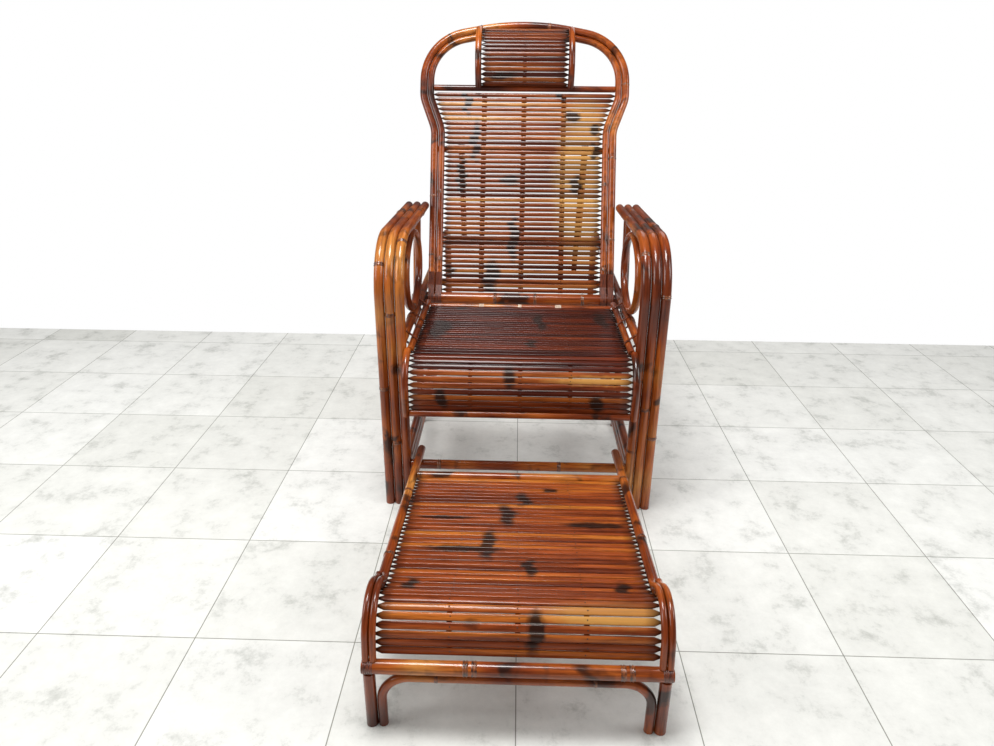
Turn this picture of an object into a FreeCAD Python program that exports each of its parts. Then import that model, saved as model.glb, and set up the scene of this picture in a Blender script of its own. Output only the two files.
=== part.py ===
import FreeCAD
import Part
import math
import os

# Bamboo folding recliner, in millimetres. X points to the sitter's left, Y to the back, Z up.
# While it is being modelled, Y = 0 is the plane of the front legs. Every piece is moved at the
# end, so that the origin lies on the floor under the middle of the whole chair.

# Fits
SEAT_GAP = 0.3          # between pieces that are seated on each other and tied
RUNNING_GAP = 0.06      # radial, between a rod and what turns on it
SIDE_GAP = 0.5          # between canes that lie side by side
HOLE_GAP = 0.15         # between a tenon's corners and its drilled hole

# Side frames
CLEAR_HALF = 257.5      # half the clear width between the inner legs
ARM_CANE = 22.0         # diameter of the three canes that make arm and front leg
ARM_REAR_Y = 505.0
ARM_REAR_Z = 636.0      # centre of the arm's rear end
ARM_FRONT_Z = 651.0     # where the arm's line meets the leg's line
ARM_BEND = 120.0
DOWEL = 5.0
DOWEL_LEG_Z = (70.0, 300.0)         # dowels through the legs
DOWEL_ARM_Y = (190.0, 440.0)        # dowels through the arms
DOWEL_INSET = 3.0                   # how far a dowel stops short of the outer faces
SIDE_RAIL = 21.0
SIDE_RAIL_Z = 424.0
BASE_RAIL = 21.5
BASE_RAIL_COUNT = 3
BASE_RAIL_LOW_Z = 90.0
POST_CANE = 21.0
POST_Y = 433.5
POST_KINK_Z = 400.0
POST_TOP_Y = 492.0
POST_BEND = 150.0
RING_CANE = 19.0
RING_Y = 217.5          # centre of the oval ring
RING_HALF_LENGTH = 118.0
RING_END_BEND = 76.0

# Cross members
STRETCHER = 23.0
FRONT_STRETCHER_Z = 110.0
REAR_STRETCHER_Y = 470.0
REAR_STRETCHER = 22.0
RACK_CANE = 21.0
RACK_SIDE_GAP = 0.5     # between a rack and the side rail beside it
RACK_FRONT_Y = 540.0
RACK_FRONT_LOW_Z = 392.0
RACK_FRONT_BEND = 30.0
RACK_REAR_BEND = 60.0
RACK_SAG_BEND = 700.0
REAR_LEG_Y = 925.0
RACK_NOTCHES = 5
NOTCH_RADIUS = 13.0
NOTCH_DEPTH = 2.2
RACK_CROSS = 20.0
RACK_CROSS_TOP_Z = 408.0
RACK_FOOT_RAIL_Z = 112.0

# Seat
SEAT_CANE = 17.0        # the straight side canes under the arms
NOSE_CANE = 16.0        # the bows that carry the slats over the nose, in front of the legs
SEAT_Z = 410.0          # centre of the seat canes and slats
SEAT_REAR_Y = 340.0
SEAT_CANE_END_Y = -11.0
SEAT_NOSE_Y = -92.0     # where the seat's line meets the line of the front drop
SEAT_LIP_Y = -70.0
SEAT_LIP_Z = 276.0
SEAT_BEND = 75.0
SEAT_REAR_BAR = 16.0
SEAT_REAR_BAR_IN = 10.0     # how far the rear bar lies in from the ends of the side canes
SEAT_REAR_BAR_DROP = 8.0    # and how far below their centres
SEAT_FRONT_BAR = 16.0
BEARER = 16.0
BEARER_Y = (70.0, 270.0)
LASHING_AFTER = (0, 8, 17)     # each lashing lies between this slat and the next
LASHING_WIDTH = 9.6
LASHING_THICK = 1.4

# Slats, all of split and whittled bamboo
SLAT_THICK = 5.0
TENON_WIDTH = 4.0
TENON_THICK = 3.6
NECK = 8.0              # length over which a slat's end is whittled down
NECK_CLEAR = 1.5        # bare tenon between the cane and the whittled neck
SEAT_PITCH = 14.3
SEAT_SLAT = 13.0
BACK_PITCH = 13.1
BACK_SLAT = 11.2
HEAD_PITCH = 13.4
HEAD_SLAT = 12.6
FOOT_PITCH = 14.6
FOOT_SLAT = 13.2
SEAT_FIRST_SLAT = 42.6  # from the rear end of the seat's side canes
FOOT_FIRST_SLAT = 8.0   # from the rear bar

# Battens, thin strips of bamboo skin that the slats are nailed to from the other side
BATTEN_THICK = 1.6
BATTEN_X = 110.0
BACK_BATTEN_WIDTH = 14.0
SEAT_BATTEN_WIDTH = 9.0
HUMP_BATTEN_GAP = 0.5    # more than the seated gap, because flat slats lie over a rounded hump
HEAD_BATTEN_WIDTH = 10.0
SHORT_BATTEN_LOW_X = 146.0
SHORT_BATTEN_HIGH_X = 168.0
SHORT_BATTEN_FROM = 80.0
SHORT_BATTEN_TO = 410.0

# Hinge
HINGE_Y = 407.0
HINGE_Z = 400.0
HINGE_ROD = 34.0
JOURNAL = 22.0
ROD_END_X = 300.0
BLOCK_HALF_LENGTH = 17.5
BLOCK_BELOW = 17.0
STRAP_THICK = 2.4
STRAP_WIDTH = 16.0
STRAP_TOP = 72.0
STRAP_WAIST = 34.0

# Backrest, measured along its own plane from the hinge
BACK_LEAN = 23.6        # degrees from upright, as photographed
BACK_GAP = 1.0          # between the backrest and the arms
BACK_CANE = 20.6
BACK_INNER_CANE = 17.5
BACK_TOP = 758.0        # centre of the outer hoop's arch, at its crown
ARCH_FALL = 11.0        # degrees by which the arch falls away from its crown on each side
SHOULDER_OUT = 32.5     # how much further out the shoulders are than the waist
SHOULDER_FROM = 468.0
SHOULDER_TO = 556.0
SHOULDER_BEND = 90.0
ARCH_BEND = 134.0
CROWN_BEND = 669.0
BACK_FIRST_SLAT = 24.6
BACK_LAST_SLAT = 565.5
HEAD_BAR = 16.5
HEAD_BAR_AT = 584.0
HEAD_X = 127.0
HEAD_CANE = 17.0
HEAD_TOP = 743.0
HEAD_BULGE = 37.0
HEAD_FIRST_SLAT = 8.0
PROP_ROD = 16.0
PROP_ROD_AT = 420.0
PROP_ROD_HALF = 244.0

# Prop, whose foot bar rides just above the racks
PROP_LEG = 17.0
PROP_LEG_X = 172.0
PROP_EYE_WALL = 4.5
PROP_EYE_WIDTH = 18.0
FOOT_BAR = 20.0
FOOT_BAR_Y = 660.0
FOOT_BAR_Z = 500.0
FOOT_BAR_HALF = 252.0
FOOT_BAR_GAP = 1.0      # between the foot bar and the racks while it rides back
RECLINE = 14.4          # degrees back from the photographed lean
PROP_RATIO = 2.8        # degrees that the prop swings for each degree of recline

# Footrest
FOOTREST_GAP = 10.0     # between the footrest and the legs that it slides between
FOOT_CANE = 19.0
FOOT_TAIL_Y = 45.0
FOOT_RISE = 48.0        # from the stretcher to the knee
HUMP_RISE = 42.0        # from the knee to the hump's corner
HUMP_FRONT_REACH = 8.0  # how far the corner before the drop lies behind the drop's foot
HUMP_FRONT_DROP = 40.0
KNEE_BEND = 60.0
HUMP_BEND = 46.0
FRONT_BEND = 44.0
BOW_CANE = 11.5         # two thin canes side by side over each side cane
FOOT_RAIL = 24.0
FOOT_RAIL_Y = -652.0
FOOT_KNEE_Y = FOOT_RAIL_Y + 122.0
HUMP_Y = FOOT_RAIL_Y + 63.0
BOW_START_Y = FOOT_RAIL_Y + 134.0
FOOT_RAIL_Z = 123.5
FOOT_LEG = 20.0
ARCH_CANE = 16.0
ARCH_BEND_FOOT = 48.0
FOOT_REAR_BAR = 21.0
FOOT_REAR_BAR_Y = -103.0

# Worked out from the sizes above
ARM_X = [CLEAR_HALF + ARM_CANE / 2 + i * (ARM_CANE + SIDE_GAP) for i in range(3)]
SIDE_X = CLEAR_HALF + max(SIDE_RAIL, BASE_RAIL, RING_CANE) / 2 + SEAT_GAP
NOSE_X = CLEAR_HALF - NOSE_CANE / 4
SEAT_X = CLEAR_HALF - SEAT_GAP - SEAT_CANE / 2
BACK_X = CLEAR_HALF - BACK_GAP - BACK_CANE / 2
HOOP_INSET = (BACK_CANE + BACK_INNER_CANE) / 2 + SIDE_GAP
RACK_X = SIDE_X - SIDE_RAIL / 2 - RACK_SIDE_GAP - RACK_CANE / 2
POST_X = SIDE_X + max(SIDE_RAIL, BASE_RAIL) / 2 + SEAT_GAP + POST_CANE / 2
FOOT_HALF = CLEAR_HALF - FOOTREST_GAP
FOOT_X = FOOT_HALF - FOOT_CANE / 2
BOW_LIFT = FOOT_CANE / 2 + SEAT_GAP + BOW_CANE / 2
REAR_END_Y = REAR_LEG_Y + RACK_CANE / 2
FRONT_END_Y = FOOT_RAIL_Y - FOOT_RAIL / 2
MID_Y = (REAR_END_Y + FRONT_END_Y) / 2
LEAN = math.radians(BACK_LEAN)


def vec(x, y, z):
    return FreeCAD.Vector(x, y, z)


X_AXIS = vec(1, 0, 0)


# Paths of straight runs and tangent bends, drawn in a plane and then placed
def side_plane(x):
    """Points (y, z) in the upright plane at x."""
    return lambda p: vec(x, p[0], p[1])


def back_point(x, s, n=0.0):
    """A point s up the backrest from the hinge and n in front of its plane."""
    return vec(x, HINGE_Y + s * math.sin(LEAN) - n * math.cos(LEAN),
               HINGE_Z + s * math.cos(LEAN) + n * math.sin(LEAN))


def back_plane(p):
    """Points (x, s) in the backrest's plane."""
    return back_point(p[0], p[1])


def back_side_plane(x):
    """Points (s, n) in the plane at x, seen along the backrest."""
    return lambda p: back_point(x, p[0], p[1])


def unit(a, b):
    length = math.hypot(b[0] - a[0], b[1] - a[1])
    return ((b[0] - a[0]) / length, (b[1] - a[1]) / length)


def inset_path(points, bends, inset):
    """The same path moved sideways to its left by inset, with its bends changed to match."""
    runs = [unit(a, b) for a, b in zip(points, points[1:])]
    normals = [(-d[1], d[0]) for d in runs]
    moved = []
    for i, p in enumerate(points):
        before = normals[max(i - 1, 0)]
        after = normals[min(i, len(normals) - 1)]
        share = inset / (1 + before[0] * after[0] + before[1] * after[1])
        moved.append((p[0] + share * (before[0] + after[0]), p[1] + share * (before[1] + after[1])))
    new_bends = []
    for i, bend in enumerate(bends):
        turn = runs[i][0] * runs[i + 1][1] - runs[i][1] * runs[i + 1][0]
        new_bends.append(bend - inset * math.copysign(1.0, turn))
    return moved, new_bends


def shortened(points, start, end):
    """The same path with this much cut off its first run and its last."""
    first, last = unit(points[0], points[1]), unit(points[-2], points[-1])
    return ([(points[0][0] + first[0] * start, points[0][1] + first[1] * start)] + points[1:-1]
            + [(points[-1][0] - last[0] * end, points[-1][1] - last[1] * end)])


def bent_edges(points, bends, place):
    """Edges of the path: straight runs joined by arcs of the given radii."""
    edges = []
    start = points[0]
    for i, bend in enumerate(bends):
        corner = points[i + 1]
        d1 = unit(points[i], corner)
        d2 = unit(corner, points[i + 2])
        cross = d1[0] * d2[1] - d1[1] * d2[0]
        turn = math.atan2(abs(cross), d1[0] * d2[0] + d1[1] * d2[1])
        reach = bend * math.tan(turn / 2)
        a = (corner[0] - d1[0] * reach, corner[1] - d1[1] * reach)
        b = (corner[0] + d2[0] * reach, corner[1] + d2[1] * reach)
        inward = unit(corner, ((a[0] + b[0]) / 2, (a[1] + b[1]) / 2))
        depth = bend / math.cos(turn / 2) - bend
        middle = (corner[0] + inward[0] * depth, corner[1] + inward[1] * depth)
        edges.append(Part.makeLine(place(start), place(a)))
        edges.append(Part.Arc(place(a), place(middle), place(b)).toShape())
        start = b
    edges.append(Part.makeLine(place(start), place(points[-1])))
    return edges


def cane_on(edges, diameter):
    """A round cane along the edges."""
    first = edges[0]
    start = first.valueAt(first.FirstParameter)
    ring = Part.makeCircle(diameter / 2, start, first.tangentAt(first.FirstParameter))
    return Part.Wire(edges).makePipe(Part.Face(Part.Wire([ring])))


def cane(points, bends, diameter, place):
    return cane_on(bent_edges(points, bends, place), diameter)


def rod(a, b, diameter):
    """A straight round rod between two points."""
    return Part.makeCylinder(diameter / 2, (b - a).Length, a, b - a)


def cross_rod(half, y, z, diameter):
    """A rod along X, centred on the chair."""
    return rod(vec(-half, y, z), vec(half, y, z), diameter)


def mirrored(shape):
    return shape.mirror(vec(0, 0, 0), X_AXIS)


def both_sides(shape):
    return [shape, mirrored(shape)]


def even(first, last, pitch):
    """Distances from first to last, evenly spaced as near to the pitch as fits."""
    steps = max(1, round((last - first) / pitch))
    return [first + (last - first) * k / steps for k in range(steps + 1)]


def stations(edges, first, pitch, last):
    """Points and directions along the edges, about a pitch apart, from first to last."""
    found = []
    for distance in even(first, last, pitch):
        rest = distance
        for edge in edges:
            if rest <= edge.Length + 1e-6:
                break
            rest -= edge.Length
        at = edge.getParameterByLength(min(rest, edge.Length))
        found.append((edge.valueAt(at), edge.tangentAt(at)))
    return found


def slat(width, half, cane_half):
    """A slat along X, with whittled ends, tenoned into canes whose centres are half away.
    Its origin is its middle."""
    tip = half
    neck = half - cane_half - NECK_CLEAR
    shoulder = neck - NECK
    sections = [(-tip, TENON_WIDTH, TENON_THICK), (-neck, TENON_WIDTH, TENON_THICK),
                (-shoulder, width, SLAT_THICK), (shoulder, width, SLAT_THICK),
                (neck, TENON_WIDTH, TENON_THICK), (tip, TENON_WIDTH, TENON_THICK)]
    wires = []
    for x, wide, thick in sections:
        corners = [vec(x, -wide / 2, -thick / 2), vec(x, wide / 2, -thick / 2),
                   vec(x, wide / 2, thick / 2), vec(x, -wide / 2, thick / 2)]
        wires.append(Part.makePolygon(corners + corners[:1]))
    return Part.makeLoft(wires, True, True)


def laid(shape, point, along):
    """The shape turned so that its Y follows the direction, and moved to the point."""
    normal = X_AXIS.cross(along)
    matrix = FreeCAD.Matrix(1, along.x, normal.x, 0,
                            0, along.y, normal.y, point.y,
                            0, along.z, normal.z, point.z,
                            0, 0, 0, 1)
    return shape.transformed(matrix, True)


def tenon_hole(half, cane_half, point):
    """The drill for both tenons of a slat whose middle is at the point."""
    radius = math.hypot(TENON_WIDTH, TENON_THICK) / 2 + HOLE_GAP
    drills = []
    for side in (-1, 1):
        tip = vec(side * (half + HOLE_GAP), point.y, point.z)
        mouth = vec(side * (half - cane_half - NECK_CLEAR), point.y, point.z)
        drills.append(rod(tip, mouth, 2 * radius))
    return drills


def strip(edges, below, width, x):
    """A flat strip of skin that follows the edges, which lie in a plane across X, below them."""
    first = edges[0]
    start = first.valueAt(first.FirstParameter)
    along = first.tangentAt(first.FirstParameter)
    normal = along.cross(X_AXIS)
    corners = []
    for side, level in ((-1, below), (1, below), (1, below + BATTEN_THICK), (-1, below + BATTEN_THICK)):
        corners.append(start + X_AXIS * (side * width / 2) - normal * level)
    face = Part.Face(Part.makePolygon(corners + corners[:1]))
    shape = Part.Wire(edges).makePipe(face)
    return shape.translated(vec(x - start.x, 0, 0))


def belt_face(a, ra, b, rb, place):
    """The flat area inside a belt round two circles in a plane."""
    d = math.hypot(b[0] - a[0], b[1] - a[1])
    line = math.atan2(b[1] - a[1], b[0] - a[0])
    spread = math.acos((ra - rb) / d)

    def on(c, r, angle):
        return place((c[0] + r * math.cos(angle), c[1] + r * math.sin(angle)))
    a1, a2 = on(a, ra, line + spread), on(a, ra, line - spread)
    b1, b2 = on(b, rb, line + spread), on(b, rb, line - spread)
    edges = [Part.Arc(a1, on(a, ra, line + math.pi), a2).toShape(), Part.makeLine(a2, b2),
             Part.Arc(b2, on(b, rb, line), b1).toShape(), Part.makeLine(b1, a1)]
    return Part.Face(Part.Wire(edges))


def save(name, *shapes):
    """Write one node, moved so that the origin is under the middle of the chair."""
    solids = [s for shape in shapes for s in shape.Solids]
    shape = solids[0] if len(solids) == 1 else Part.makeCompound(solids)
    shape = shape.translated(vec(0, -MID_Y, 0))
    shape.exportStep(os.path.join("parts", name + ".step"))
    box = shape.BoundBox
    print("%-26s %3d solids  valid %s  y %7.1f %7.1f  z %6.1f %6.1f" % (
        name, len(solids), shape.isValid(), box.YMin, box.YMax, box.ZMin, box.ZMax))


def save_pair(name, shape):
    save("left_" + name, shape)
    save("right_" + name, mirrored(shape))


# Side frames
def arm_z(y):
    """Centre height of the arm's straight stretch at y."""
    return ARM_FRONT_Z + (ARM_REAR_Z - ARM_FRONT_Z) * y / ARM_REAR_Y


def arm_canes():
    points = [(ARM_REAR_Y, ARM_REAR_Z), (0.0, ARM_FRONT_Z), (0.0, 0.0)]
    dowels = []
    for y, z in [(0.0, z) for z in DOWEL_LEG_Z] + [(y, arm_z(y)) for y in DOWEL_ARM_Y]:
        inner = ARM_X[0] - ARM_CANE / 2 + DOWEL_INSET
        outer = ARM_X[2] + ARM_CANE / 2 - DOWEL_INSET
        dowels.append(rod(vec(inner, y, z), vec(outer, y, z), DOWEL))
    drills = [rod(d.CenterOfMass - X_AXIS * d.BoundBox.XLength / 2 - X_AXIS * HOLE_GAP,
                  d.CenterOfMass + X_AXIS * d.BoundBox.XLength / 2 + X_AXIS * HOLE_GAP,
                  DOWEL + 2 * HOLE_GAP) for d in dowels]
    for name, x in zip(("inner", "middle", "outer"), ARM_X):
        shape = cane(points, [ARM_BEND], ARM_CANE, side_plane(x))
        save_pair(name + "_arm_cane", shape.cut(Part.makeCompound(drills)))
    save("arm_dowels", *dowels, *[mirrored(d) for d in dowels])


def rails_and_posts():
    front = ARM_CANE / 2 + SEAT_GAP
    save_pair("side_rail", rod(vec(SIDE_X, front, SIDE_RAIL_Z),
                               vec(SIDE_X, REAR_END_Y, SIDE_RAIL_Z), SIDE_RAIL))
    stack = []
    for i in range(BASE_RAIL_COUNT):
        z = BASE_RAIL_LOW_Z + i * (BASE_RAIL + SIDE_GAP)
        stack.append(rod(vec(SIDE_X, front, z), vec(SIDE_X, REAR_END_Y, z), BASE_RAIL))
    save_pair("base_rails", *[Part.makeCompound(stack)])
    under_arm = arm_z(POST_TOP_Y) - ARM_CANE / 2 - SEAT_GAP
    lean = math.atan2(POST_TOP_Y - POST_Y, under_arm - POST_KINK_Z)
    top = under_arm - POST_CANE / 2 * math.sin(lean) - SEAT_GAP
    points = [(POST_Y, 0.0), (POST_Y, POST_KINK_Z), (POST_TOP_Y, top)]
    save_pair("rear_post", cane(points, [POST_BEND], POST_CANE, side_plane(POST_X)))


def oval_ring():
    """Four arcs, snug between the side rail and the arm."""
    low = SIDE_RAIL_Z + SIDE_RAIL / 2 + SEAT_GAP + RING_CANE / 2
    lowest_arm = min(arm_z(RING_Y + side * RING_HALF_LENGTH / 2) for side in (-1, 1))
    high = lowest_arm - ARM_CANE / 2 - SEAT_GAP - RING_CANE / 2
    half_height = (high - low) / 2
    mid = (high + low) / 2
    a, b, small = RING_HALF_LENGTH, half_height, RING_END_BEND
    large = (a * a + b * b - 2 * a * small) / (2 * (b - small))
    swing = math.atan2(large - b, a - small)
    joint = ((a - small) + small * math.cos(swing), small * math.sin(swing))
    place = side_plane(SIDE_X)

    def at(y, z):
        return place((RING_Y + y, mid + z))
    jy, jz = joint
    edges = [Part.Arc(at(-jy, jz), at(0, b), at(jy, jz)).toShape(),
             Part.Arc(at(jy, jz), at(a, 0), at(jy, -jz)).toShape(),
             Part.Arc(at(jy, -jz), at(0, -b), at(-jy, -jz)).toShape(),
             Part.Arc(at(-jy, -jz), at(-a, 0), at(-jy, jz)).toShape()]
    save_pair("arm_ring", cane_on(edges, RING_CANE))


def hinge_blocks():
    """Blocks under the side rails that the hinge rod's journals turn in."""
    top = SIDE_RAIL_Z - SIDE_RAIL / 2 - SEAT_GAP
    low = HINGE_Z - BLOCK_BELOW
    block = Part.makeBox(SIDE_RAIL, 2 * BLOCK_HALF_LENGTH, top - low,
                         vec(SIDE_X - SIDE_RAIL / 2, HINGE_Y - BLOCK_HALF_LENGTH, low))
    bore = rod(vec(SIDE_X - SIDE_RAIL, HINGE_Y, HINGE_Z), vec(SIDE_X + SIDE_RAIL, HINGE_Y, HINGE_Z),
               JOURNAL + 2 * RUNNING_GAP)
    save_pair("hinge_block", block.cut(bore))


# Cross members
def foot_tail_z():
    """Centre of the footrest's side canes where they lie on the front stretcher."""
    return FRONT_STRETCHER_Z + STRETCHER / 2 + SEAT_GAP + FOOT_CANE / 2


def foot_slope():
    return FOOT_RISE / FOOT_KNEE_Y


def stretchers():
    inner_leg = CLEAR_HALF - SEAT_GAP
    save("front_stretcher", cross_rod(inner_leg, 0.0, FRONT_STRETCHER_Z, STRETCHER))
    tail_under = foot_tail_z() + foot_slope() * FOOT_TAIL_Y - FOOT_CANE / 2
    rear_z = tail_under - 1.0 - REAR_STRETCHER / 2
    half = SIDE_X - BASE_RAIL / 2 - SEAT_GAP
    save("rear_stretcher", cross_rod(half, REAR_STRETCHER_Y, rear_z, REAR_STRETCHER))


def prop_pivot(recline):
    """Centre of the prop rod, in (y, z), with the backrest turned back by recline degrees."""
    lean = LEAN + math.radians(recline)
    behind = BACK_CANE / 2 + SEAT_GAP + PROP_ROD / 2
    return (HINGE_Y + PROP_ROD_AT * math.sin(lean) + behind * math.cos(lean),
            HINGE_Z + PROP_ROD_AT * math.cos(lean) - behind * math.sin(lean))


def foot_bar_at(recline):
    """Centre of the foot bar, in (y, z), as the prop follows the backrest."""
    y0, z0 = prop_pivot(0.0)
    length = math.hypot(FOOT_BAR_Y - y0, FOOT_BAR_Z - z0)
    start = math.atan2(FOOT_BAR_Y - y0, FOOT_BAR_Z - z0)
    turned = start + math.radians(recline) * (1 - PROP_RATIO)
    y, z = prop_pivot(recline)
    return (y + length * math.sin(turned), z + length * math.cos(turned))


def racks():
    """Bent canes that the foot bar rides on: a short front leg, a scalloped top, a rear leg."""
    drop = FOOT_BAR / 2 + FOOT_BAR_GAP + RACK_CANE / 2
    first, middle, last = [foot_bar_at(RECLINE * k / 2) for k in range(3)]
    before = (middle[1] - first[1]) / (middle[0] - first[0])
    after = (last[1] - middle[1]) / (last[0] - middle[0])
    points = [(RACK_FRONT_Y, RACK_FRONT_LOW_Z),
              (RACK_FRONT_Y, first[1] - drop + before * (RACK_FRONT_Y - first[0])),
              (middle[0], middle[1] - drop),
              (REAR_LEG_Y, last[1] - drop + after * (REAR_LEG_Y - last[0])),
              (REAR_LEG_Y, 0.0)]
    bends = [RACK_FRONT_BEND, RACK_SAG_BEND, RACK_REAR_BEND]
    shape = cane(points, bends, RACK_CANE, side_plane(RACK_X))
    notches = []
    for k in range(RACK_NOTCHES):
        y, z = foot_bar_at(RECLINE * k / (RACK_NOTCHES - 1))
        centre = z - FOOT_BAR / 2 - FOOT_BAR_GAP - NOTCH_DEPTH + NOTCH_RADIUS
        notches.append(rod(vec(RACK_X - RACK_CANE, y, centre), vec(RACK_X + RACK_CANE, y, centre),
                           2 * NOTCH_RADIUS))
    save_pair("rack", shape.cut(Part.makeCompound(notches)))
    half = RACK_X - RACK_CANE / 2 - SEAT_GAP
    save("rack_upper_rail", cross_rod(half, RACK_FRONT_Y, RACK_CROSS_TOP_Z, RACK_CROSS))
    save("rack_foot_rail", cross_rod(half, REAR_LEG_Y, RACK_FOOT_RAIL_Z, RACK_CROSS))


# Seat
SEAT_POINTS = [(SEAT_REAR_Y, SEAT_Z), (SEAT_NOSE_Y, SEAT_Z), (SEAT_LIP_Y, SEAT_LIP_Z)]


def drilled(shape, rows, half, cane_size):
    """A cane with the holes for a row of slats' tenons."""
    drills = [d for p, t in rows for d in tenon_hole(half, cane_size / 2, p)]
    return shape.cut(Part.makeCompound(drills))


def slat_row(rows, half, cane_size, width):
    blank = slat(width, half, cane_size / 2)
    return [laid(blank, vec(0, p.y, p.z), t) for p, t in rows]


def seat_edges(x):
    return bent_edges(SEAT_POINTS, [SEAT_BEND], side_plane(x))


def seat():
    """Straight side canes as far as the legs, and bows from the legs over the nose."""
    length = sum(e.Length for e in seat_edges(0.0))
    bar_room = SEAT_FRONT_BAR + SEAT_GAP
    rows = stations(seat_edges(0.0), SEAT_FIRST_SLAT, SEAT_PITCH, length - bar_room - SEAT_SLAT / 2)
    flat = [row for row in rows if row[0].y > SEAT_CANE_END_Y]
    nose = [row for row in rows if row[0].y < SEAT_CANE_END_Y]
    side = rod(vec(SEAT_X, SEAT_REAR_Y, SEAT_Z), vec(SEAT_X, SEAT_CANE_END_Y, SEAT_Z), SEAT_CANE)
    save_pair("seat_side_cane", drilled(side, flat, SEAT_X, SEAT_CANE))
    start = -ARM_CANE / 2 - SIDE_GAP
    bow = cane([(start + SEAT_BEND, SEAT_Z)] + SEAT_POINTS[1:], [SEAT_BEND], NOSE_CANE,
               side_plane(NOSE_X))
    behind = Part.makeBox(4 * NOSE_CANE, SEAT_REAR_Y, 4 * NOSE_CANE,
                          vec(NOSE_X - 2 * NOSE_CANE, start, SEAT_Z - 2 * NOSE_CANE))
    save_pair("seat_nose_cane", drilled(bow.cut(behind), nose, NOSE_X, NOSE_CANE))
    save("seat_slats", *slat_row(flat, SEAT_X, SEAT_CANE, SEAT_SLAT),
         *slat_row(nose, NOSE_X, NOSE_CANE, SEAT_SLAT))
    save("seat_rear_bar", cross_rod(SEAT_X - SEAT_CANE / 2 - SEAT_GAP, SEAT_REAR_Y - SEAT_REAR_BAR_IN,
                                    SEAT_Z - SEAT_REAR_BAR_DROP, SEAT_REAR_BAR))
    bar = shortened(SEAT_POINTS, 0.0, SEAT_FRONT_BAR / 2)[-1]
    save("seat_front_bar", cross_rod(NOSE_X - NOSE_CANE / 2 - SEAT_GAP, *bar, SEAT_FRONT_BAR))
    bearer_z = SEAT_Z - SEAT_CANE / 2 - SEAT_GAP - BEARER / 2
    save("seat_bearers", *[cross_rod(SEAT_X, y, bearer_z, BEARER) for y in BEARER_Y])
    nailed = shortened(SEAT_POINTS, SEAT_FIRST_SLAT - SEAT_SLAT / 2, bar_room)
    nailed_edges = bent_edges(nailed, [SEAT_BEND], side_plane(0.0))
    battens = [strip(nailed_edges, SLAT_THICK / 2 + SEAT_GAP, SEAT_BATTEN_WIDTH, x)
               for x in (-BATTEN_X, 0.0, BATTEN_X)]
    save("seat_battens", *battens)
    lashings = []
    for row in LASHING_AFTER:
        y = (flat[row][0].y + flat[row + 1][0].y) / 2

        def place(p, y=y):
            return vec(p[0], y - LASHING_WIDTH / 2, p[1])
        cane_at, rail_at = (SEAT_X, SEAT_Z), (SIDE_X, SIDE_RAIL_Z)
        near, far = SEAT_CANE / 2 + SEAT_GAP, SIDE_RAIL / 2 + SEAT_GAP
        outside = belt_face(cane_at, near + LASHING_THICK, rail_at, far + LASHING_THICK, place)
        inside = belt_face(cane_at, near, rail_at, far, place)
        lashings += both_sides(outside.cut(inside).extrude(vec(0, LASHING_WIDTH, 0)))
    save("seat_lashings", *lashings)


# Hinge rod, with journals that turn in the blocks and a body that the backrest turns on
def hinge_rod():
    body_half = SIDE_X - SIDE_RAIL / 2 - SEAT_GAP
    body = cross_rod(body_half, HINGE_Y, HINGE_Z, HINGE_ROD)
    save("hinge_rod", body.fuse(cross_rod(ROD_END_X, HINGE_Y, HINGE_Z, JOURNAL)))


# Backrest
def arch_at(x):
    """How far up the two sloping lines lie that the crown's bend joins."""
    fall = math.radians(ARCH_FALL)
    return BACK_TOP + CROWN_BEND * (1 / math.cos(fall) - 1) - x * math.tan(fall)


def hoop_edges(inset):
    """A hoop from the left foot over the arch to the right foot, inset from the outer one."""
    shoulder = BACK_X + SHOULDER_OUT
    foot = HINGE_ROD / 2 + 1.5 * SEAT_GAP
    points = [(BACK_X, foot), (BACK_X, SHOULDER_FROM), (shoulder, SHOULDER_TO),
              (shoulder, arch_at(shoulder)), (0.0, arch_at(0.0)), (-shoulder, arch_at(shoulder)),
              (-shoulder, SHOULDER_TO), (-BACK_X, SHOULDER_FROM), (-BACK_X, foot)]
    bends = [SHOULDER_BEND, SHOULDER_BEND, ARCH_BEND, CROWN_BEND, ARCH_BEND, SHOULDER_BEND,
             SHOULDER_BEND]
    points, bends = inset_path(points, bends, inset)
    return bent_edges(points, bends, back_plane)


def half_width_at(edges, s):
    """Half the distance between a hoop's two sides, s up the backrest."""
    level = Part.makeLine(back_point(0.0, s), back_point(2 * CLEAR_HALF, s))
    return Part.Wire(edges).distToShape(level)[1][0][0].x


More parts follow.
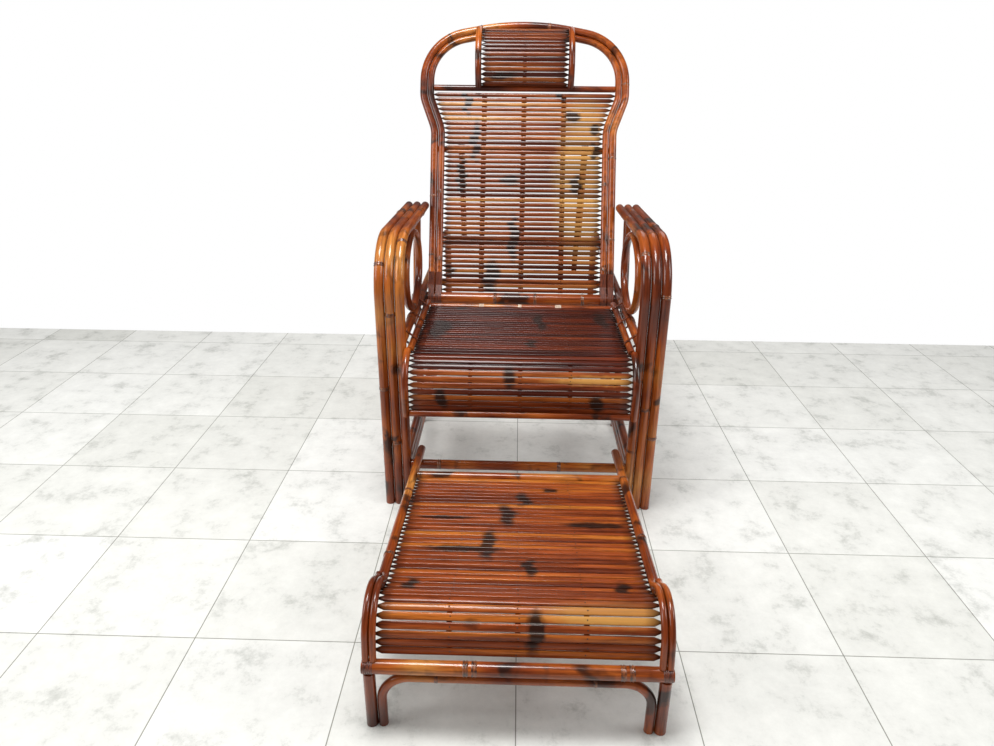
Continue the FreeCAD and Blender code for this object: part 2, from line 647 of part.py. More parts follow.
def backrest():
    save("back_outer_hoop", cane_on(hoop_edges(0.0), BACK_CANE))
    inner = hoop_edges(HOOP_INSET)
    up = back_point(0.0, 1.0) - back_point(0.0, 0.0)
    slats, drills = [], []
    for s in even(BACK_FIRST_SLAT, BACK_LAST_SLAT, BACK_PITCH):
        half = half_width_at(inner, s)
        middle = back_point(0.0, s)
        drills += tenon_hole(half, BACK_INNER_CANE / 2, middle)
        slats.append(laid(slat(BACK_SLAT, half, BACK_INNER_CANE / 2), middle, up))
    save("back_inner_hoop", cane_on(inner, BACK_INNER_CANE).cut(Part.makeCompound(drills)))
    save("back_slats", *slats)
    straps = []
    for x, size in ((BACK_X, BACK_CANE), (BACK_X - HOOP_INSET, BACK_INNER_CANE)):
        place = back_side_plane(x - STRAP_WIDTH / 2)
        solids = []
        for grow, top in ((STRAP_THICK, STRAP_TOP), (0.0, STRAP_TOP + STRAP_THICK)):
            half = size / 2 + SEAT_GAP + grow
            belt = belt_face((0.0, 0.0), HINGE_ROD / 2 + RUNNING_GAP + grow, (STRAP_WAIST, 0.0),
                             half, place)
            corners = [place(p) for p in ((STRAP_WAIST, -half), (top, -half), (top, half),
                                          (STRAP_WAIST, half))]
            tails = Part.Face(Part.makePolygon(corners + corners[:1]))
            solids.append(belt.fuse(tails).removeSplitter().extrude(X_AXIS * STRAP_WIDTH))
        straps += both_sides(solids[0].cut(solids[1]))
    save("back_hinge_straps", *straps)
    below = -SLAT_THICK / 2 - SEAT_GAP - BATTEN_THICK
    battens = []
    first, last = BACK_FIRST_SLAT - BACK_SLAT / 2, BACK_LAST_SLAT + BACK_SLAT / 2
    for low_x, high_x, low, high in ((-BATTEN_X, -BATTEN_X, first, last), (0.0, 0.0, first, last),
                                     (BATTEN_X, BATTEN_X, first, last),
                                     (SHORT_BATTEN_LOW_X, SHORT_BATTEN_HIGH_X, SHORT_BATTEN_FROM,
                                      SHORT_BATTEN_TO)):
        corners = [back_point(x, s, below) for x, s in (
            (low_x - BACK_BATTEN_WIDTH / 2, low), (low_x + BACK_BATTEN_WIDTH / 2, low),
            (high_x + BACK_BATTEN_WIDTH / 2, high), (high_x - BACK_BATTEN_WIDTH / 2, high))]
        face = Part.Face(Part.makePolygon(corners + corners[:1]))
        battens.append(face.extrude(back_point(0, 0, BATTEN_THICK) - back_point(0, 0, 0)))
    save("back_battens", *battens)
    behind = -(BACK_CANE / 2 + SEAT_GAP + PROP_ROD / 2)
    save("prop_rod", rod(back_point(-PROP_ROD_HALF, PROP_ROD_AT, behind),
                         back_point(PROP_ROD_HALF, PROP_ROD_AT, behind), PROP_ROD))


def head_edges(x):
    """The head cane bows forward from the arch down to the head bar, its ends flat against both."""
    slope = 2 * math.atan(2 * HEAD_BULGE / (HEAD_TOP - HEAD_BAR_AT))
    below_arch = (arch_at(HEAD_X) - HEAD_TOP) * math.cos(slope)
    at_arch = (BACK_CANE / 2 + SEAT_GAP - below_arch) / math.sin(slope)
    at_bar = (HEAD_BAR / 2 + SEAT_GAP) / math.sin(slope)
    place = back_side_plane(x)
    top, low = (HEAD_TOP, at_arch), (HEAD_BAR_AT, at_bar)
    middle = ((top[0] + low[0]) / 2, (top[1] + low[1]) / 2 + HEAD_BULGE)
    return [Part.Arc(place(low), place(middle), place(top)).toShape()]


def headrest():
    inner_face = half_width_at(hoop_edges(HOOP_INSET), HEAD_BAR_AT) - BACK_INNER_CANE / 2
    half = inner_face - 2 * SEAT_GAP
    save("head_bar", rod(back_point(-half, HEAD_BAR_AT), back_point(half, HEAD_BAR_AT), HEAD_BAR))
    edges = head_edges(HEAD_X)
    length = edges[0].Length
    rows = stations(edges, HEAD_FIRST_SLAT, HEAD_PITCH, length - HEAD_FIRST_SLAT / 2)
    save("head_canes", *both_sides(drilled(cane_on(edges, HEAD_CANE), rows, HEAD_X, HEAD_CANE)))
    save("head_slats", *slat_row(rows, HEAD_X, HEAD_CANE, HEAD_SLAT))
    save("head_batten", strip(head_edges(0.0), -SLAT_THICK / 2 - SEAT_GAP - BATTEN_THICK,
                           HEAD_BATTEN_WIDTH, 0.0))


# Prop
def prop():
    y0, z0 = prop_pivot(0.0)
    pivot, foot = vec(PROP_LEG_X, y0, z0), vec(PROP_LEG_X, FOOT_BAR_Y, FOOT_BAR_Z)
    along = (foot - pivot).normalize()
    eye = PROP_ROD / 2 + RUNNING_GAP + PROP_EYE_WALL
    ring = rod(pivot - X_AXIS * PROP_EYE_WIDTH / 2, pivot + X_AXIS * PROP_EYE_WIDTH / 2, 2 * eye)
    leg = rod(pivot, foot - along * (FOOT_BAR / 2 + SEAT_GAP), PROP_LEG)
    bore = rod(pivot - X_AXIS * PROP_EYE_WIDTH, pivot + X_AXIS * PROP_EYE_WIDTH,
               PROP_ROD + 2 * RUNNING_GAP)
    save("prop_legs", *both_sides(ring.fuse(leg).cut(bore)))
    save("prop_foot_bar", cross_rod(FOOT_BAR_HALF, FOOT_BAR_Y, FOOT_BAR_Z, FOOT_BAR))


# Footrest
def foot_path():
    """Flat to the knee, then up, over the hump and down to just behind the front rail."""
    tail = foot_tail_z()
    knee = tail + FOOT_RISE
    hump = knee + HUMP_RISE
    drop_y = FOOT_RAIL_Y + BOW_LIFT
    points = [(FOOT_TAIL_Y, tail + foot_slope() * FOOT_TAIL_Y), (FOOT_KNEE_Y, knee), (HUMP_Y, hump),
              (drop_y + HUMP_FRONT_REACH, hump - HUMP_FRONT_DROP),
              (drop_y, FOOT_RAIL_Z + FOOT_RAIL / 2 + SEAT_GAP)]
    return points, [KNEE_BEND, HUMP_BEND, FRONT_BEND]


def foot_edges(x):
    points, bends = foot_path()
    return bent_edges(points, bends, side_plane(x))


def started_at(points, y):
    """The same path with its first run cut off at y."""
    share = (y - points[0][0]) / (points[1][0] - points[0][0])
    return [(y, points[0][1] + share * (points[1][1] - points[0][1]))] + points[1:]


def bow_pair():
    """Two thin canes that lie on the side cane over the hump and stand on the front rail."""
    points, bends = foot_path()
    points, bends = inset_path(points, bends, -BOW_LIFT)
    points = started_at(points, BOW_START_Y)
    points[-1] = (FOOT_RAIL_Y, FOOT_RAIL_Z + FOOT_RAIL / 2 + SEAT_GAP)
    outer = FOOT_HALF - BOW_CANE / 2
    return [cane(points, bends, BOW_CANE, side_plane(x)) for x in (outer, outer - BOW_CANE - SIDE_GAP)]


def footrest():
    edges = foot_edges(FOOT_X)
    length = sum(e.Length for e in edges)
    first = FOOT_TAIL_Y - FOOT_REAR_BAR_Y + FOOT_REAR_BAR / 2 + FOOT_FIRST_SLAT
    rows = stations(edges, first, FOOT_PITCH, length - FOOT_SLAT / 2)
    save_pair("footrest_side_cane", drilled(cane_on(edges, FOOT_CANE), rows, FOOT_X, FOOT_CANE))
    save("footrest_slats", *slat_row(rows, FOOT_X, FOOT_CANE, FOOT_SLAT))
    save_pair("footrest_bows", Part.makeCompound(bow_pair()))
    save("footrest_front_rail", cross_rod(FOOT_HALF, FOOT_RAIL_Y, FOOT_RAIL_Z, FOOT_RAIL))
    slope = math.atan(foot_slope())
    bar_half = FOOT_X - FOOT_CANE / 2 - SEAT_GAP
    save("footrest_rear_bar", cross_rod(bar_half, FOOT_REAR_BAR_Y,
                                        foot_tail_z() + math.tan(slope) * FOOT_REAR_BAR_Y,
                                        FOOT_REAR_BAR))
    leg_x = FOOT_HALF - FOOT_LEG / 2
    leg_top = FOOT_RAIL_Z - FOOT_RAIL / 2 - SEAT_GAP
    leg = rod(vec(leg_x, FOOT_RAIL_Y, 0), vec(leg_x, FOOT_RAIL_Y, leg_top), FOOT_LEG)
    save("footrest_legs", *both_sides(leg))
    arch_x = leg_x - FOOT_LEG / 2 - SIDE_GAP - ARCH_CANE / 2
    arch_z = leg_top - ARCH_CANE / 2
    arch = cane([(arch_x, 0.0), (arch_x, arch_z), (-arch_x, arch_z), (-arch_x, 0.0)],
                [ARCH_BEND_FOOT, ARCH_BEND_FOOT], ARCH_CANE, lambda p: vec(p[0], FOOT_RAIL_Y, p[1]))
    save("footrest_arch", arch)
    points, bends = foot_path()
    points = started_at(points, FOOT_REAR_BAR_Y - FOOT_REAR_BAR / 2 - SIDE_GAP)
    batten_edges = bent_edges(points, bends, side_plane(0.0))
    save("footrest_battens", *[strip(batten_edges, SLAT_THICK / 2 + HUMP_BATTEN_GAP, SEAT_BATTEN_WIDTH, x)
                            for x in (-BATTEN_X, 0.0, BATTEN_X)])


os.makedirs("parts", exist_ok=True)
arm_canes()
rails_and_posts()
oval_ring()
hinge_blocks()
stretchers()
racks()
seat()
hinge_rod()
backrest()
headrest()
prop()
footrest()
for k in range(5):
    print("foot bar at recline %.1f: y %.1f z %.1f" % ((RECLINE * k / 4,) + foot_bar_at(RECLINE * k / 4)))
print("middle of the chair lies at y = %.2f from the front legs" % MID_Y)
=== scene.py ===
# %% [markdown]
# # A bamboo folding recliner
# The chair is made of round lacquered canes, rows of split and whittled slats, and thin battens
# that hold the slats from behind. The model that comes in as the frame already has every cane at
# its true size. This lesson adds what makes it look like worked bamboo: slats with crowned faces
# and whittled necks, knots on the canes, nail heads, wraps, and a burnt, glossy lacquer.

# %% Load the frame
import math
import random

import bmesh
import bpy
from mathutils import Matrix, Vector


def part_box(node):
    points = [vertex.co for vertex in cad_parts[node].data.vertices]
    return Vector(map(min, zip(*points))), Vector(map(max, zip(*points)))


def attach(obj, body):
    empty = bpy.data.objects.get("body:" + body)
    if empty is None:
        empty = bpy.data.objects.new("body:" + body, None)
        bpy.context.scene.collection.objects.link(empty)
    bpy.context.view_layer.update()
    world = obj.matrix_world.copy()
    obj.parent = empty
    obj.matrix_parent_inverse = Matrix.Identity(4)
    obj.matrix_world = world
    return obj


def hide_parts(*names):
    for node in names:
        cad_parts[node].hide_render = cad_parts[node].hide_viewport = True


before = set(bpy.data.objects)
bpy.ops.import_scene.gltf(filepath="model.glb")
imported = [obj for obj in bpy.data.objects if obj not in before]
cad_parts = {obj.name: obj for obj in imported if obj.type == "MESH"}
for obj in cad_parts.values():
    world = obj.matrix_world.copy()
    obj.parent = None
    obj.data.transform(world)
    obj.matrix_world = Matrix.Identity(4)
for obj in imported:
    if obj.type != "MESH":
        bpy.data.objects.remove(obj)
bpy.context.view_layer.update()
print("nodes in the frame:", len(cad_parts))

# %% [markdown]
# ## Measures
# The model was drawn in millimetres with Y = 0 at the front legs, and every place below is
# written that way. One function turns such a place into the scene's metres. It finds the front
# legs from the stretcher between them, so that nothing needs a typed-in offset.

# %% Millimetres, and places on the chair
MM = 0.001
stretcher_low, stretcher_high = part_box("front_stretcher")
FRONT_LEGS_Y = (stretcher_low.y + stretcher_high.y) / 2


def chair(x, y, z):
    """A place on the chair, in millimetres, with Y = 0 at the front legs."""
    return Vector((x * MM, FRONT_LEGS_Y + y * MM, z * MM))


print("front legs at y =", round(FRONT_LEGS_Y, 4))

# %% [markdown]
# ## Camera
# The photograph is taken from in front, at the height of the backrest's middle, looking down by
# about 24 degrees. The chair is turned by a degree and a half. Building the camera's three axes
# from those angles places it exactly, where a tracked target would only come close.

# %% Camera at the photograph's viewpoint
PITCH, ROLL, YAW = (math.radians(a) for a in (23.570, 0.516, -1.45))
FOCAL_PIXELS = 728.85
CAMERA_AT = (-14, -1526, 1020)
PHOTO_WIDTH = 994
SENSOR = 36.0

forward = Vector((0, math.cos(PITCH), -math.sin(PITCH)))
level_up = Vector((0, math.sin(PITCH), math.cos(PITCH)))
level_right = Vector((1, 0, 0))
right = math.cos(ROLL) * level_right + math.sin(ROLL) * level_up
up = math.cos(ROLL) * level_up - math.sin(ROLL) * level_right
turn = Matrix.Rotation(-YAW, 3, "Z")
axes = Matrix((turn @ right, turn @ up, turn @ -forward)).transposed()

camera = bpy.data.objects.new("camera", bpy.data.cameras.new("camera"))
camera.data.sensor_width = SENSOR
camera.data.lens = SENSOR * FOCAL_PIXELS / PHOTO_WIDTH
camera.matrix_world = Matrix.Translation(chair(*CAMERA_AT)) @ axes.to_4x4()
bpy.context.scene.collection.objects.link(camera)
bpy.context.scene.camera = camera
print("lens %.2f mm" % camera.data.lens)

# %% [markdown]
# ## Colours and nodes
# Colours are written as the hex values that a colour picker shows. Cycles works in linear light,
# so one function turns them round. A second small function adds a shader node and fills in its
# settings and sockets in one line, which keeps each material short enough to read.

# %% Helpers for materials
def hex_colour(code):
    """An sRGB hex colour as the linear values that a shader takes."""
    values = [int(code[i:i + 2], 16) / 255 for i in (0, 2, 4)]
    linear = [v / 12.92 if v <= 0.04045 else ((v + 0.055) / 1.055) ** 2.4 for v in values]
    return (*linear, 1.0)


def add(tree, kind, sockets=None, stops=(), **settings):
    """Add a node, set its settings and a ramp's stops, and give its sockets values or links."""
    node = tree.nodes.new("ShaderNode" + kind)
    for name, value in settings.items():
        setattr(node, name, value)
    for name, value in (sockets or {}).items():
        if isinstance(value, bpy.types.NodeSocket):
            tree.links.new(value, node.inputs[name])
        else:
            node.inputs[name].default_value = value
    for i, (position, colour) in enumerate(stops):
        elements = node.color_ramp.elements
        element = elements[i] if i < 2 else elements.new(position)
        element.position = position
        element.color = hex_colour(colour)
    return node


def per(millimetres):
    """The noise scale that gives features of this size."""
    return 1 / (millimetres * MM)


def new_material(name):
    """A material whose only nodes are a Principled shader and its output."""
    material = bpy.data.materials.new(name)
    material.use_nodes = True
    tree = material.node_tree
    tree.nodes.clear()
    shader = add(tree, "BsdfPrincipled")
    add(tree, "OutputMaterial", {"Surface": shader.outputs["BSDF"]})
    return material, tree, shader


MIX_FACTOR, MIX_A, MIX_B, MIX_RESULT = 0, 6, 7, 2       # a Mix node's sockets when it mixes colours
print("orange-brown in linear light:", [round(v, 3) for v in hex_colour("a4521c")])

# %% [markdown]
# ## Floor and light
# The chair stands on pale stone tiles in front of a white wall. The floor is one large plane.
# Behind the wall line it turns into plain white for the camera, which gives the photograph's
# horizon without a wall that would block the views from behind. The world is white for the
# camera, softer as light, and dim in reflections, so that the lacquer keeps its deep colour.

# %% Floor
WALL_Y = 1170
FLOOR_HALF = 9000
TILE = 305

plane = bmesh.new()
bmesh.ops.create_grid(plane, x_segments=2, y_segments=2, size=FLOOR_HALF * MM)
bmesh.ops.translate(plane, verts=plane.verts, vec=(0, 0, -0.2 * MM))
floor_mesh = bpy.data.meshes.new("floor")
plane.to_mesh(floor_mesh)
plane.free()
floor = bpy.data.objects.new("floor", floor_mesh)
bpy.context.scene.collection.objects.link(floor)

stone, tree, shader = new_material("pale honed stone")
shader.inputs["Roughness"].default_value = 0.55
place = add(tree, "TexCoord").outputs["Object"]
cloud = add(tree, "TexNoise", {"Vector": place, "Scale": per(90), "Detail": 9.0,
                               "Roughness": 0.75}).outputs["Fac"]
stone_colour = add(tree, "ValToRGB", {"Fac": cloud}, [(0.32, "b9bab5"), (0.46, "dcdcd8"),
                                                      (0.70, "e9e9e5")])
seams = add(tree, "TexBrick", {"Vector": place, "Color1": hex_colour("ffffff"),
                               "Color2": hex_colour("f2f2f0"), "Mortar": hex_colour("96968f"),
                               "Scale": 1.0, "Mortar Size": 1.2 * MM, "Mortar Smooth": 0.4,
                               "Brick Width": TILE * MM, "Row Height": TILE * MM}, offset=0.0)
tiled = add(tree, "Mix", {MIX_FACTOR: 1.0, MIX_A: stone_colour.outputs["Color"],
                          MIX_B: seams.outputs["Color"]}, data_type="RGBA", blend_type="MULTIPLY")
tree.links.new(tiled.outputs[MIX_RESULT], shader.inputs["Base Color"])
depth = add(tree, "SeparateXYZ", {"Vector": place}).outputs["Y"]
behind_wall = add(tree, "Math", {0: depth, 1: chair(0, WALL_Y, 0).y}, operation="GREATER_THAN")
white = add(tree, "Emission", {"Color": (1, 1, 1, 1), "Strength": 1.0})
mixed = add(tree, "MixShader", {0: behind_wall.outputs[0], 1: shader.outputs["BSDF"],
                                2: white.outputs["Emission"]})
tree.links.new(mixed.outputs[0], tree.nodes["Material Output"].inputs["Surface"])
floor_mesh.materials.append(stone)
print("wall line at y = %.2f m" % chair(0, WALL_Y, 0).y)

# %% World and lamps
WORLD_LIGHT = 0.44         # how bright the room is as light
WORLD_SHEEN = 0.10         # and as what the lacquer reflects between the lamps
LAMPS_LOOK_AT = (0, 100, 450)
LAMPS = [("ceiling lamp", (-300, -300, 2900), 0.9, 66),     # name, place, metres wide, watts
         ("window left", (-2600, -900, 1900), 1.5, 40),
         ("window right", (2700, -600, 2100), 1.3, 34),
         ("lamp behind", (600, 2600, 2200), 1.4, 7)]

world = bpy.data.worlds.new("studio")
bpy.context.scene.world = world
world.use_nodes = True
tree = world.node_tree
tree.nodes.clear()
path = add(tree, "LightPath")
seen = add(tree, "Math", {0: path.outputs["Is Camera Ray"], 1: path.outputs["Is Transmission Ray"]},
           operation="MAXIMUM")
lit = add(tree, "MapRange", {"Value": path.outputs["Is Glossy Ray"], "To Min": WORLD_LIGHT,
                             "To Max": WORLD_SHEEN})
strength = add(tree, "MapRange", {"Value": seen.outputs[0], "To Min": lit.outputs["Result"],
                                  "To Max": 1.0})
backdrop = add(tree, "Background", {"Color": (1, 1, 1, 1), "Strength": strength.outputs["Result"]})
add(tree, "OutputWorld", {"Surface": backdrop.outputs["Background"]})


def soft_lamp(name, at, towards, size, power):
    """A square area lamp that looks at a point."""
    lamp = bpy.data.objects.new(name, bpy.data.lights.new(name, "AREA"))
    lamp.data.size = size
    lamp.data.energy = power
    aim = (towards - at).to_track_quat("-Z", "Y").to_matrix().to_4x4()
    lamp.matrix_world = Matrix.Translation(at) @ aim
    bpy.context.scene.collection.objects.link(lamp)


for lamp_name, lamp_at, lamp_size, watts in LAMPS:
    soft_lamp(lamp_name, chair(*lamp_at), chair(*LAMPS_LOOK_AT), lamp_size, watts)

view = bpy.context.scene.view_settings
view.view_transform = "Standard"

# %% [markdown]
# ## Lacquered cane
# The canes are rattan and bamboo, heated over a flame until the skin scorches in patches, then
# stained and lacquered. Three layers give that: a slow drift between deep red-brown and orange,
# dark scorch marks with soft edges, and fine fibres that run along the cane. The fibres need a
# direction. A cane that lies in an upright side plane keeps its X while it bends, so noise that
# changes quickly along X and slowly along Y and Z draws fibres that follow even its bends. Cross
# rods and the back hoops use the same idea with other axes. Real fibres are about 1 mm apart,
# and are drawn at 2 to 4 mm, so that they show.

# %% Cane finish
BURNT = "1d0d08"
CANE_TONES = ("4a1b0b", "85380f", "b05a1d", "c9843c")


def cane_finish(name, fibre, lean=0.0, drift=(0.0, 0.0, 0.0)):
    """Scorched and lacquered cane whose fibres change quickly along the large axes of fibre."""
    material, tree, shader = new_material(name)
    place = add(tree, "TexCoord").outputs["Object"]
    moved = add(tree, "Mapping", {"Vector": place, "Location": drift}).outputs["Vector"]
    slow = add(tree, "TexNoise", {"Vector": moved, "Scale": per(190), "Detail": 2.0})
    tone = add(tree, "ValToRGB", {"Fac": slow.outputs["Fac"]},
               list(zip((0.30, 0.45, 0.58, 0.74), CANE_TONES)))

    laid = add(tree, "Mapping", {"Vector": moved, "Rotation": (lean, 0, 0), "Scale": fibre})
    fibres = add(tree, "TexNoise", {"Vector": laid.outputs["Vector"], "Scale": per(14),
                                    "Detail": 4.0, "Roughness": 0.7}).outputs["Fac"]
    shade = add(tree, "ValToRGB", {"Fac": fibres}, [(0.30, "a0958f"), (0.62, "ffffff")])
    fibred = add(tree, "Mix", {MIX_FACTOR: 1.0, MIX_A: tone.outputs["Color"],
                               MIX_B: shade.outputs["Color"]},
                 data_type="RGBA", blend_type="MULTIPLY")

    patches = add(tree, "TexNoise", {"Vector": moved, "Scale": per(70), "Detail": 3.0,
                                     "Distortion": 0.6}).outputs["Fac"]
    burnt = add(tree, "MapRange", {"Value": patches, "From Min": 0.565, "From Max": 0.66,
                                   "To Max": 0.88}).outputs["Result"]
    skin = add(tree, "Mix", {MIX_FACTOR: burnt, MIX_A: fibred.outputs[MIX_RESULT],
                             MIX_B: hex_colour(BURNT)}, data_type="RGBA")
    tree.links.new(skin.outputs[MIX_RESULT], shader.inputs["Base Color"])

    roughness = add(tree, "MapRange", {"Value": fibres, "To Min": 0.24, "To Max": 0.40})
    tree.links.new(roughness.outputs["Result"], shader.inputs["Roughness"])
    shader.inputs["Specular IOR Level"].default_value = 0.2
    shader.inputs["Coat Weight"].default_value = 0.6
    shader.inputs["Coat Roughness"].default_value = 0.07
    bump = add(tree, "Bump", {"Height": fibres, "Strength": 0.25, "Distance": 0.25 * MM})
    tree.links.new(bump.outputs["Normal"], shader.inputs["Normal"])
    return material


BACK_LEAN = math.radians(23.6)
ALONG, ACROSS = 0.16, 3.2
side_cane = cane_finish("lacquered cane bent in the side planes", (ACROSS, ALONG, ALONG))
cross_cane = cane_finish("lacquered cane across the chair", (ALONG, ACROSS, ACROSS))
hoop_cane = cane_finish("lacquered cane of the back hoops", (ALONG, ACROSS, ALONG), BACK_LEAN,
                        (0.05, 0.02, 0.03))
arch_cane = cane_finish("lacquered cane of the front arch", (ALONG, ACROSS, ALONG))
print("cane finishes:", sum("lacquered cane" in m.name for m in bpy.data.materials))

# %% [markdown]
# ## Split bamboo for the slats
# The slats are split from thick bamboo, so each has its own colour, and a scorch mark that once
# lay on one pole now runs over several neighbours, a little out of step. Each slat carries three
# numbers on its vertices: its tone, a small sideways shift for its marks, and how near a vertex
# is to the whittled end. There the colour is painted almost black as shade, where the slat ends
# tuck in beside the canes. The marks that stand out on the chair are placed one by one as soft
# ellipsoids.

# %% Slat finish
def slat_finish(name, tones, marks, gold=(), front=(0, -1, 0.0)):
    """Split bamboo. Marks and gold patches are (place, half sizes). From the first to the second
    Y of front, the tone rises by its third value."""
    material, tree, shader = new_material(name)
    place = add(tree, "TexCoord").outputs["Object"]
    own_tone = add(tree, "Attribute", attribute_name="tone").outputs["Fac"]
    own_shift = add(tree, "Attribute", attribute_name="shift").outputs["Fac"]
    whittled = add(tree, "Attribute", attribute_name="whittled").outputs["Fac"]
    sideways = add(tree, "CombineXYZ", {"X": own_shift}).outputs["Vector"]
    shifted = add(tree, "VectorMath", {0: place, 1: sideways}, operation="ADD").outputs["Vector"]

    laid = add(tree, "Mapping", {"Vector": shifted, "Scale": (0.14, 3.0, 3.0)}).outputs["Vector"]
    grain = add(tree, "TexNoise", {"Vector": laid, "Scale": per(11), "Detail": 4.0,
                                   "Roughness": 0.65}).outputs["Fac"]
    slow = add(tree, "TexNoise", {"Vector": laid, "Scale": per(45),
                                  "Detail": 2.0}).outputs["Fac"]
    depth = add(tree, "SeparateXYZ", {"Vector": place}).outputs["Y"]
    forward = add(tree, "MapRange", {"Value": depth, "From Min": chair(0, front[0], 0).y,
                                     "From Max": chair(0, front[1], 0).y, "To Max": front[2]})
    raised = add(tree, "Math", {0: own_tone, 1: forward.outputs[0]}, operation="ADD").outputs[0]
    level = add(tree, "Math", {0: slow, 1: 0.9, 2: raised}, operation="MULTIPLY_ADD").outputs[0]
    tone = add(tree, "ValToRGB", {"Fac": level}, list(zip((0.28, 0.50, 0.72, 0.98), tones)))
    shade = add(tree, "ValToRGB", {"Fac": grain}, [(0.28, "9a8d86"), (0.60, "ffffff")])
    wood = add(tree, "Mix", {MIX_FACTOR: 1.0, MIX_A: tone.outputs["Color"],
                             MIX_B: shade.outputs["Color"]},
               data_type="RGBA", blend_type="MULTIPLY")

    def nearness(spots, vector):
        """1 inside the nearest of the soft ellipsoids, 0 well outside them all."""
        nearest = None
        for spot, half in spots:
            inverse = [1 / (h * MM) for h in half]
            moved = [-c * i for c, i in zip(chair(*spot), inverse)]
            local = add(tree, "Mapping", {"Vector": vector, "Scale": inverse, "Location": moved})
            away = add(tree, "VectorMath", {0: local.outputs["Vector"]}, operation="LENGTH")
            if nearest is None:
                nearest = away.outputs["Value"]
            else:
                nearest = add(tree, "Math", {0: nearest, 1: away.outputs["Value"]},
                              operation="MINIMUM").outputs[0]
        near = add(tree, "MapRange", {"Value": nearest, "From Min": 1.25, "From Max": 0.70})
        return near.outputs[0]

    ragged = add(tree, "TexNoise", {"Vector": shifted, "Scale": per(16),
                                    "Detail": 3.0}).outputs["Color"]
    frayed = add(tree, "VectorMath", {0: ragged, 1: (0.016, 0.010, 0.010), 2: shifted},
                 operation="MULTIPLY_ADD").outputs["Vector"]
    centred = add(tree, "VectorMath", {0: frayed, 1: (-0.008, -0.005, -0.005)}, operation="ADD")
    scorch = nearness(marks, centred.outputs["Vector"])
    if gold:
        pale = nearness(gold, centred.outputs["Vector"])
        some = add(tree, "MapRange", {"Value": own_tone, "From Min": -0.10, "From Max": 0.10,
                                      "To Min": 0.15, "To Max": 0.75})
        share = add(tree, "Math", {0: pale, 1: some.outputs[0]}, operation="MULTIPLY").outputs[0]
        wood = add(tree, "Mix", {MIX_FACTOR: share, MIX_A: wood.outputs[MIX_RESULT],
                                 MIX_B: hex_colour("bd8d4a")}, data_type="RGBA")
    specks = add(tree, "TexNoise", {"Vector": laid, "Scale": per(26), "Detail": 3.0}).outputs["Fac"]
    smudge = add(tree, "MapRange", {"Value": specks, "From Min": 0.64, "From Max": 0.74,
                                    "To Max": 0.6}).outputs[0]
    darker = add(tree, "Math", {0: scorch, 1: smudge}, operation="MAXIMUM").outputs[0]
    # The whittled ends are painted near-black as shade, where the slat ends tuck in beside the
    # canes.
    darker = add(tree, "Math", {0: darker, 1: whittled}, operation="MAXIMUM").outputs[0]
    darker = add(tree, "Math", {0: darker, 1: 0.92}, operation="MULTIPLY").outputs[0]
    face = add(tree, "Mix", {MIX_FACTOR: darker, MIX_A: wood.outputs[MIX_RESULT],
                             MIX_B: hex_colour("170b07")}, data_type="RGBA")
    tree.links.new(face.outputs[MIX_RESULT], shader.inputs["Base Color"])
    roughness = add(tree, "MapRange", {"Value": grain, "To Min": 0.26, "To Max": 0.44})
    tree.links.new(roughness.outputs["Result"], shader.inputs["Roughness"])
    shader.inputs["Specular IOR Level"].default_value = 0.12
    shader.inputs["Coat Weight"].default_value = 0.35
    shader.inputs["Coat Roughness"].default_value = 0.10
    bump = add(tree, "Bump", {"Height": grain, "Strength": 0.35, "Distance": 0.3 * MM})
    tree.links.new(bump.outputs["Normal"], shader.inputs["Normal"])
    return material


# %% Where the scorch marks lie
HINGE = (407, 400)


def on_back(x, s, out=0.0):
    """A place on the backrest, s up from the hinge and out in front of it, in chair millimetres."""
    return (x, HINGE[0] + s * math.sin(BACK_LEAN) - out * math.cos(BACK_LEAN),
            HINGE[1] + s * math.cos(BACK_LEAN) + out * math.sin(BACK_LEAN))


SEAT_MARKS = [((-27, -84, 382), (15, 34, 34)), ((48, 188, 412), (12, 62, 20)),
              ((24, 40, 412), (13, 24, 20)), ((-170, -84, 325), (13, 30, 26)),
              ((172, -82, 316), (16, 30, 22)), ((-150, 290, 412), (13, 16, 20)),
              ((-196, 130, 412), (26, 70, 20)), ((205, 210, 412), (16, 60, 20))]
FOOT_MARKS = [((-25, -275, 165), (16, 46, 30)), ((-58, -387, 170), (15, 56, 30)),
              ((14, -208, 155), (14, 30, 30)), ((67, -165, 150), (15, 10, 30)),
              ((-150, -290, 160), (62, 8, 30)), ((150, -310, 165), (64, 12, 30)),
              ((-100, -405, 170), (80, 10, 30)), ((22, -463, 175), (12, 28, 30)),
              ((-185, -530, 190), (13, 30, 30)), ((182, -525, 190), (14, 26, 30)),
              ((26, -632, 190), (14, 30, 50)), ((-75, -634, 196), (20, 14, 12))]
BACK_MARKS = [(on_back(x, s), (half, 20 + tall * math.sin(BACK_LEAN), tall))
              for x, s, half, tall in (
                  (-158, 544, 11, 34), (-135, 435, 12, 62), (-169, 340, 13, 56), (-25, 170, 14, 74),
                  (-82, 59, 22, 54), (192, 472, 14, 16), (198, 411, 13, 26), (130, 507, 22, 16),
                  (147, 319, 15, 28), (103, 565, 9, 16), (-201, 80, 16, 18), (-35, 330, 26, 14))]
HEAD_MARKS = [(on_back(118, 660, 40), (10, 40, 70)), (on_back(-60, 610, 20), (40, 30, 12))]
seat_bamboo = slat_finish("split bamboo of the seat", ("35100a", "571f0d", "763213", "a35620"),
                          SEAT_MARKS, [((165, -84, 372), (120, 20, 12))], (-20, -92, 0.24))
back_bamboo = slat_finish("split bamboo of the back", ("4c1e0a", "84401b", "a0602c", "bd8a4a"),
                          BACK_MARKS, [(on_back(165, 330), (75, 190, 210))])
head_bamboo = slat_finish("split bamboo of the headrest", ("3f160a", "6b2e12", "8d4c22", "ad743e"),
                          HEAD_MARKS)
